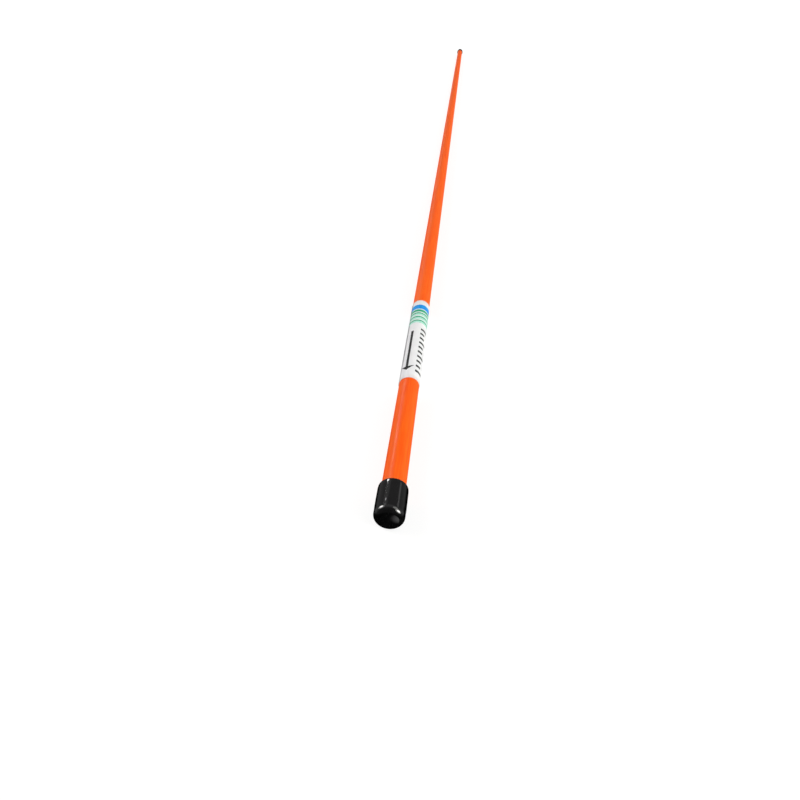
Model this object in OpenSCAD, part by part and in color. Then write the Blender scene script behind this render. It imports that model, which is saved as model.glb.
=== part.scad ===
// Golf alignment stick: a solid round fibreglass rod with a push-on vinyl cap
// on each end and a wrap-round label near one end.
// The stick lies along Y, with the labelled end towards -Y, resting on its two
// caps. Z is up, and the origin is under the stick's middle, on the ground.

/* [Rod] */
// Length of the bare rod
rod_len = 1219; // [600:1:1800]
// Diameter of the rod
rod_d = 8; // [6:0.1:10]
// Edge bevel on the blunt near end
blunt_bevel = 0.6; // [0.2:0.1:1]
// Length of the ground point on the far end
point_len = 6; // [2:0.5:8]
// Diameter of the flat left at the tip of the point
point_tip_d = 4; // [2:0.1:5]

/* [Caps] */
// How far a cap reaches over the rod
cap_depth = 12.7; // [10:0.1:40]
// Thickness of a cap's side wall
cap_wall = 0.95; // [0.6:0.05:1.6]
// Thickness of a cap's closed end
cap_end_wall = 1.3; // [1:0.1:4]
// Radius of the rounding between a cap's side and its closed end
cap_round = 2.5; // [1.2:0.1:3]
// Radius inside a cap where the bore meets its floor
cap_bore_round = 1; // [0.4:0.1:1.2]
// Rounding of the cut edge at a cap's mouth
cap_lip_round = 0.5; // [0.1:0.05:0.5]

/* [Label] */
// Length of the label along the rod
label_len = 68; // [30:1:120]
// Distance from the near cap's mouth to the label
label_gap = 59; // [20:1:200]
// Thickness of the label film
label_film = 0.12; // [0.08:0.01:0.2]
// Width of the strip where the label overlaps itself
label_overlap = 3; // [1:0.5:6]
// Where the overlap lies round the rod, from straight up
label_seam_angle = 250; // [0:1:359]

/* [Fits] */
// Gap all round between the rod and a cap's bore
cap_clearance = 0.05; // [0.02:0.01:0.1]
// Gap between the rod's end and a cap's floor
end_gap = 0.3; // [0.2:0.1:1]
// Adhesive layer between the rod and the label
glue = 0.02; // [0.01:0.01:0.05]

/* [Hidden] */
$fn = 96;

rod_r = rod_d / 2;
bore_r = rod_r + cap_clearance;
cap_r = bore_r + cap_wall;
cap_len = cap_depth + cap_end_wall;
near_end = -rod_len / 2;
far_end = rod_len / 2;
// Y of each cap's closed outer end, and of the near cap's mouth
cap_out = end_gap + cap_end_wall;
near_mouth = near_end - cap_out + cap_len;
label_start = near_mouth + label_gap;
label_r = rod_r + glue;
overlap_angle = label_overlap / label_r * 180 / PI;
// How far shapes that touch reach into each other, so that they join
join = 0.01;

// Lays a shape built along +Z down along +Y, starting at the given Y, with the
// axis at the height where the caps touch the ground.
module lay_down(start) {
    translate([0, start, cap_r]) rotate([-90, 0, 0]) children();
}

// Half outline of a block with one rounded lower corner, for turning.
module rounded_half(radius, height, corner) {
    translate([0, corner]) square([radius, height - corner]);
    square([radius - corner, corner + join]);
    translate([radius - corner, corner]) intersection() {
        circle(corner);
        translate([-join, -corner]) square([corner + join, corner + join]);
    }
}

// Half outline of a cap: closed end at the bottom, mouth at the top.
module cap_half() {
    difference() {
        rounded_half(cap_r, cap_len - cap_lip_round, cap_round);
        translate([0, cap_end_wall]) rounded_half(bore_r, cap_len, cap_bore_round);
    }
    // The cut lip, rounded on its outer edge
    translate([bore_r, cap_len - cap_lip_round - join])
        square([cap_wall - cap_lip_round, cap_lip_round + join]);
    translate([cap_r - cap_lip_round, cap_len - cap_lip_round]) circle(cap_lip_round);
}

module cap() {
    rotate_extrude() cap_half();
}

module rod() {
    color([0.96, 0.36, 0.04]) lay_down(near_end) {
        cylinder(h = blunt_bevel, r1 = rod_r - blunt_bevel, r2 = rod_r);
        translate([0, 0, blunt_bevel])
            cylinder(h = rod_len - blunt_bevel - point_len, r = rod_r);
        translate([0, 0, rod_len - point_len])
            cylinder(h = point_len, r1 = rod_r, r2 = point_tip_d / 2);
    }
}

module near_cap() {
    color([0.04, 0.04, 0.04]) lay_down(near_end - cap_out) cap();
}

module far_cap() {
    color([0.04, 0.04, 0.04])
        translate([0, far_end + cap_out, cap_r]) rotate([90, 0, 0]) cap();
}

module label() {
    color([0.93, 0.93, 0.93]) lay_down(label_start) {
        difference() {
            cylinder(h = label_len, r = label_r + label_film);
            translate([0, 0, -join]) cylinder(h = label_len + 2 * join, r = label_r);
        }
        // The strip that overlaps the label's own edge, sunk halfway into the layer below
        rotate([0, 0, label_seam_angle - 90])
            rotate_extrude(angle = overlap_angle)
                translate([label_r + label_film / 2, 0])
                    square([label_film * 3 / 2, label_len]);
    }
}

rod();
near_cap();
far_cap();
label();
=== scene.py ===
import math

import bmesh
import bpy
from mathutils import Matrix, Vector, noise


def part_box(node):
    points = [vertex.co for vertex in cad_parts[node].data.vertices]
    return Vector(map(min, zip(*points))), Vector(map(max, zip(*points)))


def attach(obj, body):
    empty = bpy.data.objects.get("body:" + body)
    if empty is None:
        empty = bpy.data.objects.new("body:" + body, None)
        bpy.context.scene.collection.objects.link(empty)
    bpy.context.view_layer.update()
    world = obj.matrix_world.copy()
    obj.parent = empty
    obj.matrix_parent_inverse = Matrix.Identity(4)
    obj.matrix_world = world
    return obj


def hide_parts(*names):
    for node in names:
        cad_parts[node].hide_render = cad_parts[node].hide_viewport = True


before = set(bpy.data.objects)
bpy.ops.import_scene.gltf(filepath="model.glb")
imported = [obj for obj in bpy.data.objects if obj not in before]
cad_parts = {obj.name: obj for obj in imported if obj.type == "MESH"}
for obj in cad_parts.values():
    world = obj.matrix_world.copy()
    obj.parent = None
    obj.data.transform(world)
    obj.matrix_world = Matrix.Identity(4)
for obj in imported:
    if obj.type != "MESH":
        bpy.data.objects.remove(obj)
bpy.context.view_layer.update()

MM = 0.001

# ---------------------------------------------------------------- the CAD frame
# The stick lies along Y. An angle round it is measured from straight up, towards +X.

near_low, near_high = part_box("near_cap")
_, far_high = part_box("far_cap")
rod_low, rod_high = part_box("rod")
label_low, label_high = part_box("label")

CAP_RADIUS = (near_high.z - near_low.z) / 2
CAP_LENGTH = near_high.y - near_low.y
AXIS_HEIGHT = near_low.z + CAP_RADIUS
LABEL_LENGTH = label_high.y - label_low.y

# ---------------------------------------------------------------- sizes that the boxes don't give

# an outline's point closer to the axis than this is on it
ON_AXIS = 1e-7

ROD_RADIUS = 4.0 * MM
ROD_SIDES = 144
ROD_RING_STEP = 15 * MM
BLUNT_BEVEL = 0.6 * MM
POINT_LENGTH = 6 * MM
POINT_TIP_RADIUS = 2 * MM
# an extra ring on the bevel, this far from its outer edge
BEVEL_RING = 0.12 * MM
# the rod is a little glossier just past the near cap
ROD_RUBBED_MIDDLE = near_high.y + 20 * MM
ROD_RUBBED_REACH = 30 * MM
ROD_RUBBED_GLOSS = 0.13

CAP_SIDES = 144
CAP_END_ROUND = 2.1 * MM
CAP_DOME_RADIUS = 30 * MM
CAP_END_WALL = 1.3 * MM
CAP_BORE_RADIUS = 4.05 * MM
CAP_BORE_ROUND = 1.0 * MM
CAP_LIP_ROUND = 0.5 * MM
CAP_FLOOR_RING = 1.5 * MM
# dipped vinyl is a little uneven, sinks a little by its closed end and draws in at its mouth
CAP_UNEVEN, CAP_UNEVEN_LENGTH = 0.02 * MM, 3.5 * MM
CAP_SUNK, CAP_SUNK_UNTIL, CAP_SUNK_BLEND = 0.05 * MM, 4.3 * MM, 0.22 * MM
CAP_DRAWN_IN, CAP_DRAWN_IN_REACH = 0.11 * MM, 2 * MM

FILM = 0.12 * MM
FILM_INNER_RADIUS = 4.02 * MM
FILM_SEAM = math.radians(250)
FILM_OVERLAP = 3.0 * MM
FILM_RAMP = math.radians(9)
FILM_CORNER = 1.6 * MM
# the free edge has come unstuck by up to this much, over this angle
FILM_LIFT, FILM_LOOSE = 0.12 * MM, 0.25
FILM_RADIUS = FILM_INNER_RADIUS + FILM
FILM_TURN = 2 * math.pi + FILM_OVERLAP / FILM_RADIUS
FREE_EDGE = FILM_SEAM + FILM_TURN - 4 * math.pi
# how thick the printed ink is
INK = 0.012 * MM


def on_stick(angle, along, radius):
    """The point at that angle round the stick, that Y, and that distance from its axis."""
    return Vector((radius * math.sin(angle), along, AXIS_HEIGHT + radius * math.cos(angle)))


def finished(name, bm, materials, sharp=35, body="stick"):
    """The bmesh as a smooth-shaded object that rides on a CAD body."""
    bmesh.ops.recalc_face_normals(bm, faces=bm.faces)
    mesh = bpy.data.meshes.new(name)
    bm.to_mesh(mesh)
    bm.free()
    for face in mesh.polygons:
        face.use_smooth = True
    mesh.set_sharp_from_angle(angle=math.radians(sharp))
    for material in materials:
        mesh.materials.append(material)
    piece = bpy.data.objects.new(name, mesh)
    bpy.context.scene.collection.objects.link(piece)
    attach(piece, body)
    return piece


def arc(centre, radius, start, end, steps):
    """Points on an arc in a (along, out) outline, angles in degrees from the along axis."""
    angles = [math.radians(start + (end - start) * i / steps) for i in range(steps + 1)]
    return [(centre[0] + radius * math.cos(a), centre[1] + radius * math.sin(a)) for a in angles]


def lathe(outline, sides, place, slots=None):
    """Turns an outline of (along, out) points, which starts and ends on the axis, round the stick.

    place(angle, along, out) gives each point; slots, if given, is the material of each stretch.
    """
    bm = bmesh.new()
    turn = 2 * math.pi / sides
    rings = []
    for along, out in outline:
        if out < ON_AXIS:
            rings.append([bm.verts.new(place(0, along, 0))])
        else:
            rings.append([bm.verts.new(place(i * turn, along, out)) for i in range(sides)])
    for index, (first, second) in enumerate(zip(rings, rings[1:])):
        for i in range(sides):
            corners = [first[i % len(first)], first[(i + 1) % len(first)],
                       second[(i + 1) % len(second)], second[i % len(second)]]
            face = bm.faces.new(list(dict.fromkeys(corners)))
            if slots:
                face.material_index = slots[index]
    return bm


# ---------------------------------------------------------------- materials

class Graph:
    """The node tree of a material or of the world, with short calls for the nodes used here."""

    def __init__(self, owner):
        owner.use_nodes = True
        self.tree = owner.node_tree

    def node(self, kind, **settings):
        made = self.tree.nodes.new(kind)
        for name, value in settings.items():
            setattr(made, name, value)
        return made

    def link(self, source, socket):
        self.tree.links.new(source, socket)

    def feed(self, value, socket):
        """Gives an input a number, a colour, or another node's output."""
        if isinstance(value, tuple):
            socket.default_value = (*value, 1)
        elif isinstance(value, (int, float)):
            socket.default_value = value
        else:
            self.link(value, socket)

    def ramp(self, source, *stops):
        """A colour ramp through (position, colour) stops."""
        made = self.node("ShaderNodeValToRGB")
        elements = made.color_ramp.elements
        while len(elements) < len(stops):
            elements.new(0.5)
        for element, (position, colour) in zip(elements, stops):
            element.position = position
            element.color = (*colour, 1)
        self.link(source, made.inputs["Fac"])
        return made.outputs["Color"]

    def spread(self, source, low, high, to_low, to_high, smooth=False):
        """source mapped from low..high to to_low..to_high, held at the ends."""
        made = self.node("ShaderNodeMapRange")
        if smooth:
            made.interpolation_type = "SMOOTHSTEP"
        for name, value in zip(("From Min", "From Max", "To Min", "To Max"),
                               (low, high, to_low, to_high)):
            made.inputs[name].default_value = value
        self.link(source, made.inputs["Value"])
        return made.outputs["Result"]

    def maths(self, operation, first, second=0):
        made = self.node("ShaderNodeMath", operation=operation)
        self.feed(first, made.inputs[0])
        self.feed(second, made.inputs[1])
        return made.outputs["Value"]

    def mix(self, amount, first, second, blend="MIX"):
        """One colour laid over another, by amount."""
        made = self.node("ShaderNodeMix", data_type="RGBA", blend_type=blend)
        for name, value in (("Factor_Float", amount), ("A_Color", first), ("B_Color", second)):
            self.feed(value, next(s for s in made.inputs if s.identifier == name))
        return next(s for s in made.outputs if s.identifier == "Result_Color")

    def choose(self, test, if_not, if_so):
        """The first value where test is 0, and the second where it is 1."""
        made = self.node("ShaderNodeMix", data_type="FLOAT")
        for name, value in (("Factor_Float", test), ("A_Float", if_not), ("B_Float", if_so)):
            self.feed(value, next(s for s in made.inputs if s.identifier == name))
        return next(s for s in made.outputs if s.identifier == "Result_Float")

    def axis(self, source, name):
        """The X, Y or Z of a vector."""
        made = self.node("ShaderNodeSeparateXYZ")
        self.link(source, made.inputs["Vector"])
        return made.outputs[name]


class Surface(Graph):
    """A material on the Principled shader, laid out in the frame's own coordinates."""

    def __init__(self, name):
        self.material = bpy.data.materials.new(name)
        super().__init__(self.material)
        self.shader = self.tree.nodes["Principled BSDF"]
        self.place = self.node("ShaderNodeTexCoord").outputs["Object"]

    def grain(self, across, along, detail=3, roughness=0.5, seed=0.0):
        """Noise whose features are this long across the stick and along it, in metres."""
        mapping = self.node("ShaderNodeMapping")
        mapping.inputs["Scale"].default_value = (1 / across, 1 / along, 1 / across)
        mapping.inputs["Location"].default_value = (seed, seed * 0.37, -seed)
        self.link(self.place, mapping.inputs["Vector"])
        texture = self.node("ShaderNodeTexNoise")
        texture.inputs["Scale"].default_value = 1
        texture.inputs["Detail"].default_value = detail
        texture.inputs["Roughness"].default_value = roughness
        self.link(mapping.outputs["Vector"], texture.inputs["Vector"])
        return texture.outputs["Fac"]

    def along(self):
        """The Y of the point being shaded."""
        return self.axis(self.place, "Y")

    def around(self):
        """The angle round the stick of the point being shaded, from straight up towards +X."""
        height = self.maths("SUBTRACT", self.axis(self.place, "Z"), AXIS_HEIGHT)
        return self.maths("ARCTAN2", self.axis(self.place, "X"), height)

    def bump(self, height, depth, strength=1.0, under=None):
        """A normal roughened by a height, over the normal under it if there is one."""
        made = self.node("ShaderNodeBump")
        made.inputs["Strength"].default_value = strength
        made.inputs["Distance"].default_value = depth
        self.link(height, made.inputs["Height"])
        if under is not None:
            self.link(under, made.inputs["Normal"])
        return made.outputs["Normal"]

    def done(self, colour, roughness, normal, **settings):
        """Joins the parts to the shader, sets its plain values and returns the material."""
        self.link(colour, self.shader.inputs["Base Color"])
        self.link(roughness, self.shader.inputs["Roughness"])
        self.link(normal, self.shader.inputs["Normal"])
        for name, value in settings.items():
            self.shader.inputs[name.replace("_", " ")].default_value = value
        return self.material


def pultruded_orange():
    """Pigmented fibreglass rod: streaks along the fibres under a satin resin skin."""
    g = Surface("orange_fibreglass")
    fibres = g.grain(0.28 * MM, 22 * MM, detail=4, roughness=0.6)
    bands = g.grain(2.2 * MM, 90 * MM, detail=2, seed=4.1)
    cloud = g.grain(5 * MM, 14 * MM, detail=4, roughness=0.65, seed=9.3)
    colour = g.ramp(fibres, (0.25, (0.97, 0.080, 0.0)), (0.5, (1.0, 0.128, 0.001)),
                    (0.8, (1.0, 0.175, 0.004)))
    shade = g.ramp(bands, (0.3, (0.98, 0.86, 0.75)), (0.7, (1.0, 1.0, 1.0)))
    colour = g.mix(0.8, colour, shade, "MULTIPLY")
    mottle = g.ramp(cloud, (0.35, (0.98, 0.86, 0.80)), (0.65, (1.0, 1.06, 1.1)))
    colour = g.mix(0.7, colour, mottle, "MULTIPLY")
    from_middle = g.maths("ABSOLUTE", g.maths("SUBTRACT", g.along(), ROD_RUBBED_MIDDLE))
    rubbed = g.spread(from_middle, 0, ROD_RUBBED_REACH, ROD_RUBBED_GLOSS, 0.0, smooth=True)
    patches = g.grain(7 * MM, 24 * MM, detail=1, seed=12.6)
    roughness = g.spread(patches, 0.35, 0.65, 0.46, 0.41, smooth=True)
    roughness = g.maths("SUBTRACT", roughness, rubbed)
    normal = g.bump(fibres, 0.022 * MM, 0.6)
    return g.done(colour, roughness, normal, Specular_IOR_Level=0.36)


def cut_fibreglass():
    """The sawn or ground end of the rod: fibre ends in resin, pale and matt."""
    g = Surface("cut_fibreglass")
    ends = g.grain(0.12 * MM, 0.5 * MM, detail=5, roughness=0.7, seed=2.2)
    patches = g.grain(1.1 * MM, 3 * MM, detail=2, seed=7.7)
    colour = g.ramp(ends, (0.3, (0.62, 0.085, 0.012)), (0.55, (0.86, 0.17, 0.03)),
                    (0.75, (0.95, 0.42, 0.20)))
    dust = g.ramp(patches, (0.4, (1.0, 1.0, 1.0)), (0.7, (0.82, 0.76, 0.72)))
    colour = g.mix(0.7, colour, dust, "MULTIPLY")
    roughness = g.spread(ends, 0.3, 0.7, 0.6, 0.85)
    return g.done(colour, roughness, g.bump(ends, 0.04 * MM, 0.7))


def black_vinyl():
    """Dip-moulded PVC: glossy, with a faint orange peel, smudges and a few dust specks."""
    g = Surface("black_vinyl")
    peel = g.grain(0.55 * MM, 0.55 * MM, detail=2)
    swell = g.grain(2.6 * MM, 4.5 * MM, detail=1, seed=3.3)
    smudge = g.grain(2.2 * MM, 3.4 * MM, detail=4, roughness=0.6, seed=6.1)
    specks = g.grain(0.13 * MM, 0.13 * MM, detail=1, seed=1.7)
    dust = g.spread(specks, 0.74, 0.78, 0.0, 0.6)
    colour = g.ramp(smudge, (0.35, (0.0014, 0.0014, 0.0015)), (0.75, (0.0042, 0.0042, 0.0044)))
    colour = g.mix(dust, colour, (0.10, 0.10, 0.10))
    roughness = g.spread(smudge, 0.35, 0.75, 0.07, 0.14)
    roughness = g.maths("MAXIMUM", roughness, dust)
    normal = g.bump(swell, 0.06 * MM, 0.4)
    normal = g.bump(peel, 0.012 * MM, 0.3, under=normal)
    return g.done(colour, roughness, normal, Coat_Weight=1.0, Coat_Roughness=0.06)


def white_film():
    """Satin white label film, faintly mottled, grubby at its ends, with painted shade along its
    free edge.
    """
    g = Surface("white_film")
    fine = g.grain(0.25 * MM, 0.25 * MM, detail=3)
    cloud = g.grain(3 * MM, 7 * MM, detail=3, seed=5.5)
    colour = g.ramp(cloud, (0.3, (0.80, 0.81, 0.83)), (0.7, (0.88, 0.885, 0.89)))
    grit = g.ramp(fine, (0.30, (0.90, 0.90, 0.90)), (0.45, (1.0, 1.0, 1.0)))
    colour = g.mix(0.6, colour, grit, "MULTIPLY")

    y = g.along()
    grime_reach = 3 * MM
    start = g.spread(y, label_low.y, label_low.y + grime_reach, 1.0, 0.0, smooth=True)
    end = g.spread(y, label_high.y - grime_reach, label_high.y, 0.0, 1.0, smooth=True)
    grime = g.maths("MULTIPLY", g.maths("MAXIMUM", start, end), cloud)
    colour = g.mix(grime, colour, (0.66, 0.60, 0.55))

    # painted shade: a grey band just past the film's free edge, broken up by the cloud and faint
    # towards the label's near end
    around = g.around()
    before, full, gone = (FREE_EDGE + math.radians(degrees) for degrees in (-2, 6, 18))
    outer = g.spread(around, before, FREE_EDGE, 0.0, 1.0, smooth=True)
    inner = g.spread(around, full, gone, 1.0, 0.0, smooth=True)
    edge_shade = g.maths("MULTIPLY", outer, inner)
    edge_shade = g.maths("MULTIPLY", edge_shade, g.spread(cloud, 0.35, 0.6, 0.3, 0.85))
    shade_faint_until, shade_full_from = label_low.y + 5 * MM, label_low.y + 14 * MM
    faded = g.spread(y, shade_faint_until, shade_full_from, 0.2, 1.0, smooth=True)
    edge_shade = g.maths("MULTIPLY", edge_shade, faded)
    colour = g.mix(edge_shade, colour, (0.33, 0.33, 0.34))
    roughness = g.spread(cloud, 0.3, 0.7, 0.30, 0.42)
    return g.done(colour, roughness, g.bump(fine, 0.006 * MM, 0.4))


def ink(name, dark, light):
    """Printed ink between two shades, with pinholes where the white film shows through."""
    g = Surface(name)
    coverage = g.grain(0.9 * MM, 1.4 * MM, detail=3, seed=8.2)
    pinholes = g.grain(0.16 * MM, 0.16 * MM, detail=2, seed=0.9)
    colour = g.ramp(coverage, (0.3, dark), (0.7, light))
    holes = g.spread(pinholes, 0.74, 0.80, 0.0, 0.6)
    colour = g.mix(holes, colour, (0.8, 0.8, 0.8))
    roughness = g.spread(coverage, 0.3, 0.7, 0.28, 0.42)
    return g.done(colour, roughness, g.bump(pinholes, 0.003 * MM, 0.3), Specular_IOR_Level=0.2)


ORANGE = pultruded_orange()
CUT = cut_fibreglass()
VINYL = black_vinyl()
FILM_WHITE = white_film()
INK_BLACK = ink("ink_black", (0.002, 0.002, 0.0025), (0.009, 0.009, 0.01))
INK_BLUE = ink("ink_blue", (0.008, 0.25, 0.72), (0.025, 0.36, 0.88))
INK_GREEN = ink("ink_green", (0.02, 0.36, 0.19), (0.05, 0.48, 0.27))
INK_MINT = ink("ink_mint", (0.38, 0.74, 0.61), (0.50, 0.84, 0.72))


# ---------------------------------------------------------------- rod

def rod():
    """The whole fibreglass rod: blunt bevelled near end, ground point on the far end."""
    near, far = rod_low.y, rod_high.y
    straight = far - POINT_LENGTH
    slope = (ROD_RADIUS - POINT_TIP_RADIUS) / POINT_LENGTH
    face_rings = 4
    outline = [(near, (ROD_RADIUS - BLUNT_BEVEL) * i / face_rings) for i in range(face_rings + 1)]
    outline += [(near + BLUNT_BEVEL - BEVEL_RING, ROD_RADIUS - BEVEL_RING),
                (near + BLUNT_BEVEL, ROD_RADIUS)]
    cut_until = len(outline) - 1
    rings = round((straight - near) / ROD_RING_STEP)
    outline += [(near + BLUNT_BEVEL + (straight - near - BLUNT_BEVEL) * i / rings, ROD_RADIUS)
                for i in range(1, rings + 1)]
    cut_from = len(outline) - 1
    point_rings = 6
    outline += [(straight + POINT_LENGTH * i / point_rings,
                 ROD_RADIUS - slope * POINT_LENGTH * i / point_rings)
                for i in range(1, point_rings + 1)]
    outline += [(far, POINT_TIP_RADIUS * (1 - i / face_rings)) for i in range(1, face_rings + 1)]
    stretches = range(len(outline) - 1)
    slots = [1 if i < cut_until or i >= cut_from else 0 for i in stretches]

    bm = lathe(outline, ROD_SIDES, on_stick, slots)
    piece = finished("rod_surface", bm, [ORANGE, CUT], sharp=25)
    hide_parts("rod")


# ---------------------------------------------------------------- caps

def cap_outline():
    """Outline of a dip-moulded cap: (distance from the closed end, distance from the axis)."""
    side = CAP_RADIUS
    inset = side - CAP_END_ROUND
    meet = math.asin(inset / (CAP_DOME_RADIUS - CAP_END_ROUND))
    shoulder = CAP_DOME_RADIUS - inset / math.tan(meet)
    dome_end = 180 - math.degrees(meet)
    outline = arc((CAP_DOME_RADIUS, 0), CAP_DOME_RADIUS, 180, dome_end, 6)[:-1]
    outline[0] = (0, 0)
    outline += arc((shoulder, inset), CAP_END_ROUND, dome_end, 90, 16)
    lip = CAP_LENGTH - CAP_LIP_ROUND
    side_rings = 32
    outline += [(shoulder + (lip - shoulder) * i / side_rings, side) for i in range(1, side_rings)]
    outline += arc((lip, side - CAP_LIP_ROUND), CAP_LIP_ROUND, 90, 0, 5)
    inner_lip = CAP_LIP_ROUND * 0.5
    outline += arc((CAP_LENGTH - inner_lip, CAP_BORE_RADIUS + inner_lip), inner_lip, 0, -90, 3)
    floor = CAP_END_WALL + CAP_BORE_ROUND
    bore_rings = 8
    start = CAP_LENGTH - inner_lip
    outline += [(start + (floor - start) * i / bore_rings, CAP_BORE_RADIUS)
                for i in range(1, bore_rings)]
    outline += arc((floor, CAP_BORE_RADIUS - CAP_BORE_ROUND), CAP_BORE_ROUND, 90, 180, 6)
    outline += [(CAP_END_WALL, CAP_FLOOR_RING), (CAP_END_WALL, 0)]
    return outline


def cap_swell(angle, along, out, seed):
    """How far a cap's surface stands out from its outline there, which is nothing in the bore."""
    near_bore = 0.2 * MM
    if out < CAP_BORE_RADIUS + near_bore and along > CAP_END_WALL:
        return 0
    place = Vector((math.sin(angle), math.cos(angle), along / CAP_UNEVEN_LENGTH + seed))
    uneven = noise.noise(place) * CAP_UNEVEN
    sunk = CAP_SUNK / (1 + math.exp((along - CAP_SUNK_UNTIL) / CAP_SUNK_BLEND))
    to_mouth = min(1, max(0, (along - CAP_LENGTH) / CAP_DRAWN_IN_REACH + 1))
    return uneven - sunk - CAP_DRAWN_IN * to_mouth * to_mouth


def cap(name, node, closed_end, direction, seed):
    """A push-on cap, with its closed end at that Y and its mouth in that direction along Y."""

    def place(angle, along, out):
        swell = cap_swell(angle, along, out, seed) if out else 0
        return on_stick(angle, closed_end + direction * along, out + swell)

    bm = lathe(cap_outline(), CAP_SIDES, place)
    piece = finished(name, bm, [VINYL], sharp=50, body=node)
    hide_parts(node)


# ---------------------------------------------------------------- label

def film_under(angle):
    """Radius of the film's inner face, at an angle counted on from the film's hidden end."""
    climb = (angle - 2 * math.pi + FILM_RAMP) / FILM_RAMP
    climb = min(max(climb, 0), 1)
    return FILM_INNER_RADIUS + (FILM + INK) * climb * climb * (3 - 2 * climb)


def on_film(angle, along, height):
    """A point above the film's inner face, at an angle from its hidden end and along the label."""
    loose = max(0, angle - FILM_TURN + FILM_LOOSE) / FILM_LOOSE
    # the free edge stands up in a slow wave along the label, between this share and all of it
    least, wave = 0.3, 4.2
    curl = least + (1 - least) * math.sin(wave * along / LABEL_LENGTH) ** 2
    lift = FILM_LIFT * loose * loose * curl
    return on_stick(FILM_SEAM + angle, label_low.y + along, film_under(angle) + height + lift)


def film_from_top(degrees):
    """The angle from the film's hidden end of the place at that many degrees from straight up."""
    return (math.radians(degrees) - FILM_SEAM) % (2 * math.pi)


def film_inset(angle):
    """How much shorter the film is at each end there, because its corners are rounded."""
    from_edge = min(angle, FILM_TURN - angle) * FILM_RADIUS
    if from_edge >= FILM_CORNER:
        return 0
    return FILM_CORNER - math.sqrt(FILM_CORNER ** 2 - (FILM_CORNER - from_edge) ** 2)


def label_film():
    """The wrap label: one strip of film that goes round the rod and overlaps its own edge."""
    bm = bmesh.new()
    corner = FILM_CORNER / FILM_RADIUS
    corner_steps = 10
    body_steps = 180
    curve = [1 - math.cos(math.pi / 2 * i / corner_steps) for i in range(corner_steps)]
    angles = [corner * c for c in curve]
    angles += [corner + (FILM_TURN - 2 * corner) * i / body_steps for i in range(body_steps + 1)]
    angles += [FILM_TURN - corner * c for c in reversed(curve)]
    rows = 40
    top, under = [], []
    for angle in angles:
        inset = film_inset(angle)
        places = [inset + (LABEL_LENGTH - 2 * inset) * j / rows for j in range(rows + 1)]
        top.append([bm.verts.new(on_film(angle, place, FILM)) for place in places])
        under.append([bm.verts.new(on_film(angle, place, 0)) for place in places])
    for i in range(len(angles) - 1):
        for j in range(rows):
            bm.faces.new((top[i][j], top[i + 1][j], top[i + 1][j + 1], top[i][j + 1]))
            bm.faces.new((under[i][j], under[i][j + 1], under[i + 1][j + 1], under[i + 1][j]))
        bm.faces.new((top[i][0], under[i][0], under[i + 1][0], top[i + 1][0]))
        bm.faces.new((top[i][rows], top[i + 1][rows], under[i + 1][rows], under[i][rows]))
    last = len(angles) - 1
    for j in range(rows):
        bm.faces.new((top[0][j], top[0][j + 1], under[0][j + 1], under[0][j]))
        bm.faces.new((top[last][j], under[last][j], under[last][j + 1], top[last][j + 1]))
    piece = finished("label_film", bm, [FILM_WHITE])
    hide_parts("label")


def printed(name, shapes, material):
    """Flat outlines of (angle from the film's hidden end, along the label), printed on the film.

    They are cut across every few degrees, so that they bend round the stick with the film.
    """
    bm = bmesh.new()
    for shape in shapes:
        bm.faces.new([bm.verts.new((angle, along, 0)) for angle, along in shape])
    bmesh.ops.triangulate(bm, faces=bm.faces)
    step, tolerance = math.radians(3), 1e-5
    for i in range(1, int(FILM_TURN / step) + 1):
        everything = [*bm.verts, *bm.edges, *bm.faces]
        bmesh.ops.bisect_plane(bm, geom=everything, dist=tolerance, plane_co=(i * step, 0, 0),
                               plane_no=(1, 0, 0))
    raised = bmesh.ops.extrude_face_region(bm, geom=bm.faces[:])["geom"]
    for item in raised:
        if isinstance(item, bmesh.types.BMVert):
            item.co.z = INK
    for vert in bm.verts:
        vert.co = on_film(vert.co.x, vert.co.y, FILM + vert.co.z)
    piece = finished(name, bm, [material])


def bar(angle, low, high, width):
    """A bar along the label, of that width round it, centred on an angle."""
    half = width / 2 / FILM_RADIUS
    return [(angle - half, low), (angle + half, low), (angle + half, high), (angle - half, high)]


def arrow():
    """The plain arrow that points at the near end."""
    angle = film_from_top(-24)
    tip, tail = 5.7 * MM, 38 * MM
    shaft_width, head_width, head_length, notch = 1.1 * MM, 6.0 * MM, 3.5 * MM, 1.2 * MM
    barbs = tip + head_length
    shaft = bar(angle, barbs - notch, tail, shaft_width)
    half = head_width / 2 / FILM_RADIUS
    head = [(angle, tip), (angle + half, barbs), (angle, barbs - notch), (angle - half, barbs)]
    printed("label_arrow", [shaft, head], INK_BLACK)


def tick_scale():
    """A row of plain ticks beside the arrow, in line at one side, every third one long."""
    side = film_from_top(27)
    first, step, count = 5.2 * MM, 3.8 * MM, 10
    thickness, long_width, short_width = 1.4 * MM, 3.9 * MM, 2.5 * MM
    ticks = []
    for i in range(count):
        low = first + i * step
        width = long_width if i % 3 == 0 else short_width
        ticks.append(bar(side + width / 2 / FILM_RADIUS, low, low + thickness, width))
    printed("label_ticks", ticks, INK_BLACK)


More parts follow.
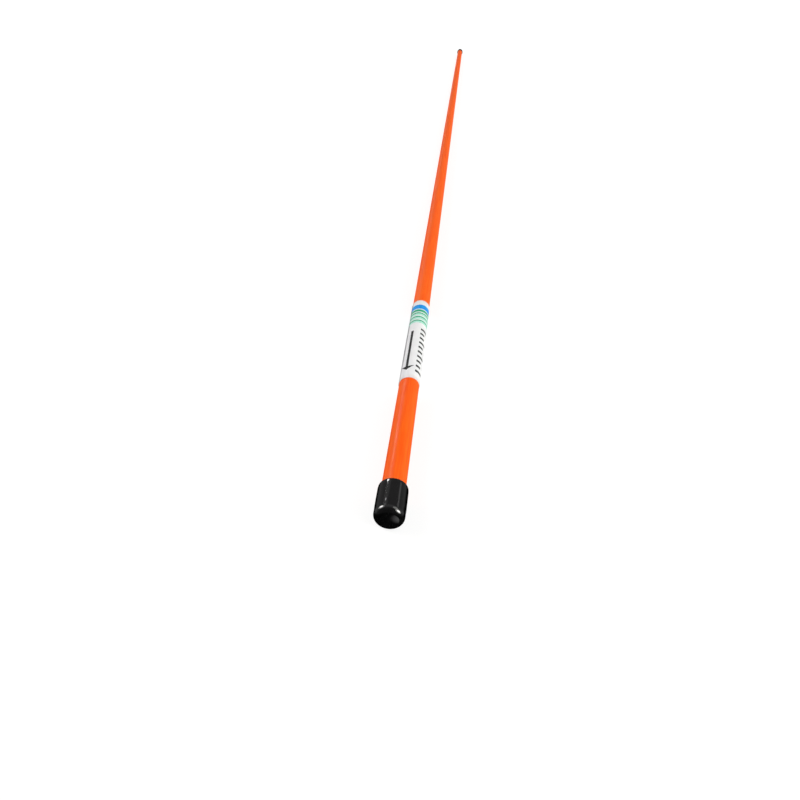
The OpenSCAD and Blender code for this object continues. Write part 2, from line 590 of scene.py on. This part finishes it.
def colour_rings():
    """Plain coloured rings at the label's far end, from its hidden overlap to its free edge."""
    start = FILM_TURN - 2 * math.pi + math.radians(2)
    end = FILM_TURN - 0.9 * MM / FILM_RADIUS

    def ring(low, width):
        return [(start, low), (end, low), (end, low + width), (start, low + width)]

    first, step, count = 45.5 * MM, 3.6 * MM, 3
    mint, thin_green, wide_green, blue = 1.5 * MM, 1.1 * MM, 2.1 * MM, 4.2 * MM
    to_thin_green, to_blue = mint + 0.1 * MM, 2.9 * MM
    starts = [first + i * step for i in range(count)]
    printed("label_rings_mint", [ring(low, mint) for low in starts], INK_MINT)
    printed("label_rings_green", [ring(low + to_thin_green, thin_green) for low in starts],
            INK_GREEN)
    last = first + count * step
    printed("label_ring_green_wide", [ring(last, wide_green)], INK_GREEN)
    printed("label_ring_blue", [ring(last + to_blue, blue)], INK_BLUE)


rod()
cap("near_cap_vinyl", "near_cap", near_low.y, 1, seed=0.0)
cap("far_cap_vinyl", "far_cap", far_high.y, -1, seed=5.0)
label_film()
arrow()
tick_scale()
colour_rings()

# ---------------------------------------------------------------- floor, light and camera

def floor():
    """A plain pale floor, far larger than the stick, that glows so that shadows on it are faint."""
    reach, albedo, glow = 40, 0.2, 0.853
    bm = bmesh.new()
    bm.faces.new([bm.verts.new((x * reach, y * reach, 0))
                  for x, y in ((-1, -1), (1, -1), (1, 1), (-1, 1))])
    mesh = bpy.data.meshes.new("floor")
    bm.to_mesh(mesh)
    bm.free()
    piece = bpy.data.objects.new("floor", mesh)
    bpy.context.scene.collection.objects.link(piece)
    material = bpy.data.materials.new("floor_pale")
    material.use_nodes = True
    shader = material.node_tree.nodes["Principled BSDF"]
    shader.inputs["Base Color"].default_value = (albedo, albedo, albedo, 1)
    shader.inputs["Emission Color"].default_value = (1, 1, 1, 1)
    shader.inputs["Emission Strength"].default_value = glow
    shader.inputs["Roughness"].default_value = 0.9
    shader.inputs["Specular IOR Level"].default_value = 0.1
    mesh.materials.append(material)
    piece.visible_glossy = False


def far_softbox(name, towards, spread, strength, tint=(1, 1, 1)):
    """A round soft light so far away that it lights the whole floor alike, spread in degrees."""
    light = bpy.data.lights.new(name, "SUN")
    light.angle = math.radians(spread)
    light.energy = strength
    light.color = tint
    lamp = bpy.data.objects.new(name, light)
    bpy.context.scene.collection.objects.link(lamp)
    lamp.rotation_euler = Vector(towards).to_track_quat("Z", "Y").to_euler()


def surroundings():
    """An even pale room: white to the eye, softer as light, mostly dark where gloss mirrors it."""
    seen, lighting, mirrored = 1.0, 0.28, 0.3
    # how much of the mirrored room shows, by height and by how far ahead: brightest overhead
    dark_until, full_from = -0.45, -0.15
    by_ahead = ((-0.9, 0.15), (-0.45, 0.25), (-0.05, 0.9), (0.35, 1.0), (0.66, 0.4))
    # a dim soft card low in front: where it is, and the cosines where it starts and would be full
    card_towards, card_brightness = Vector((0.11, -0.74, -0.67)), 0.85
    card_start, card_full = 0.985, 1.008

    world = bpy.data.worlds.new("room")
    g = Graph(world)
    background = g.tree.nodes["Background"]
    background.inputs["Color"].default_value = (1, 1, 1, 1)

    towards = g.node("ShaderNodeTexCoord").outputs["Generated"]
    room = g.spread(g.axis(towards, "Z"), dark_until, full_from, 0.0, mirrored, smooth=True)
    ahead = g.spread(g.axis(towards, "Y"), -1, 1, 0, 1)
    shares = g.ramp(ahead, *(((y + 1) / 2, (share, share, share)) for y, share in by_ahead))
    room = g.maths("MULTIPLY", room, shares)

    nearness = g.node("ShaderNodeVectorMath", operation="DOT_PRODUCT")
    g.link(towards, nearness.inputs[0])
    nearness.inputs[1].default_value = card_towards.normalized()
    card = g.spread(nearness.outputs["Value"], card_start, card_full, 0.0, card_brightness,
                    smooth=True)

    path = g.node("ShaderNodeLightPath")
    strength = g.choose(path.outputs["Is Glossy Ray"], lighting, g.maths("ADD", room, card))
    strength = g.choose(path.outputs["Is Camera Ray"], strength, seen)
    g.link(strength, background.inputs["Strength"])
    bpy.context.scene.world = world


def camera():
    """The photograph's viewpoint: low behind the near cap, looking down along the stick."""
    behind, right, height = 0.1286, 0.0160, 0.1415
    down, left = math.radians(35.35), math.radians(5.56)
    data = bpy.data.cameras.new("camera")
    data.sensor_width = 36
    data.lens = 27.63
    data.clip_start = 0.01
    data.clip_end = 100
    viewer = bpy.data.objects.new("camera", data)
    bpy.context.scene.collection.objects.link(viewer)
    viewer.location = (right, near_low.y - behind, height)
    viewer.rotation_euler = (math.pi / 2 - down, 0, left)
    bpy.context.scene.camera = viewer


floor()
surroundings()
# a large soft light at each side with a brighter core, and small ones that make the streaks
pinkish, yellowish = (1.0, 0.97, 0.96), (1.0, 0.99, 0.95)
far_softbox("light_left", (-0.79, 0.15, 0.58), 42, 0.75, pinkish)
far_softbox("light_left_core", (-0.79, 0.20, 0.57), 22, 1.1, pinkish)
far_softbox("light_left_ahead", (-0.41, 0.72, 0.56), 22, 0.012)
far_softbox("light_left_glint", (-0.44, 0.65, 0.62), 6, 0.02)
far_softbox("light_left_low", (-0.442, 0.790, 0.425), 8, 0.15)
far_softbox("light_right", (0.84, -0.40, 0.35), 42, 1.3, yellowish)
far_softbox("light_right_core", (0.86, -0.39, 0.34), 22, 1.35, yellowish)
far_softbox("light_right_top", (0.62, -0.05, 0.78), 34, 0.4, yellowish)
far_softbox("light_right_ahead", (0.59, 0.72, 0.37), 9, 0.006)
far_softbox("light_right_glint", (0.66, 0.62, 0.42), 5, 0.009)
camera()
bpy.context.scene.view_settings.view_transform = "Standard"
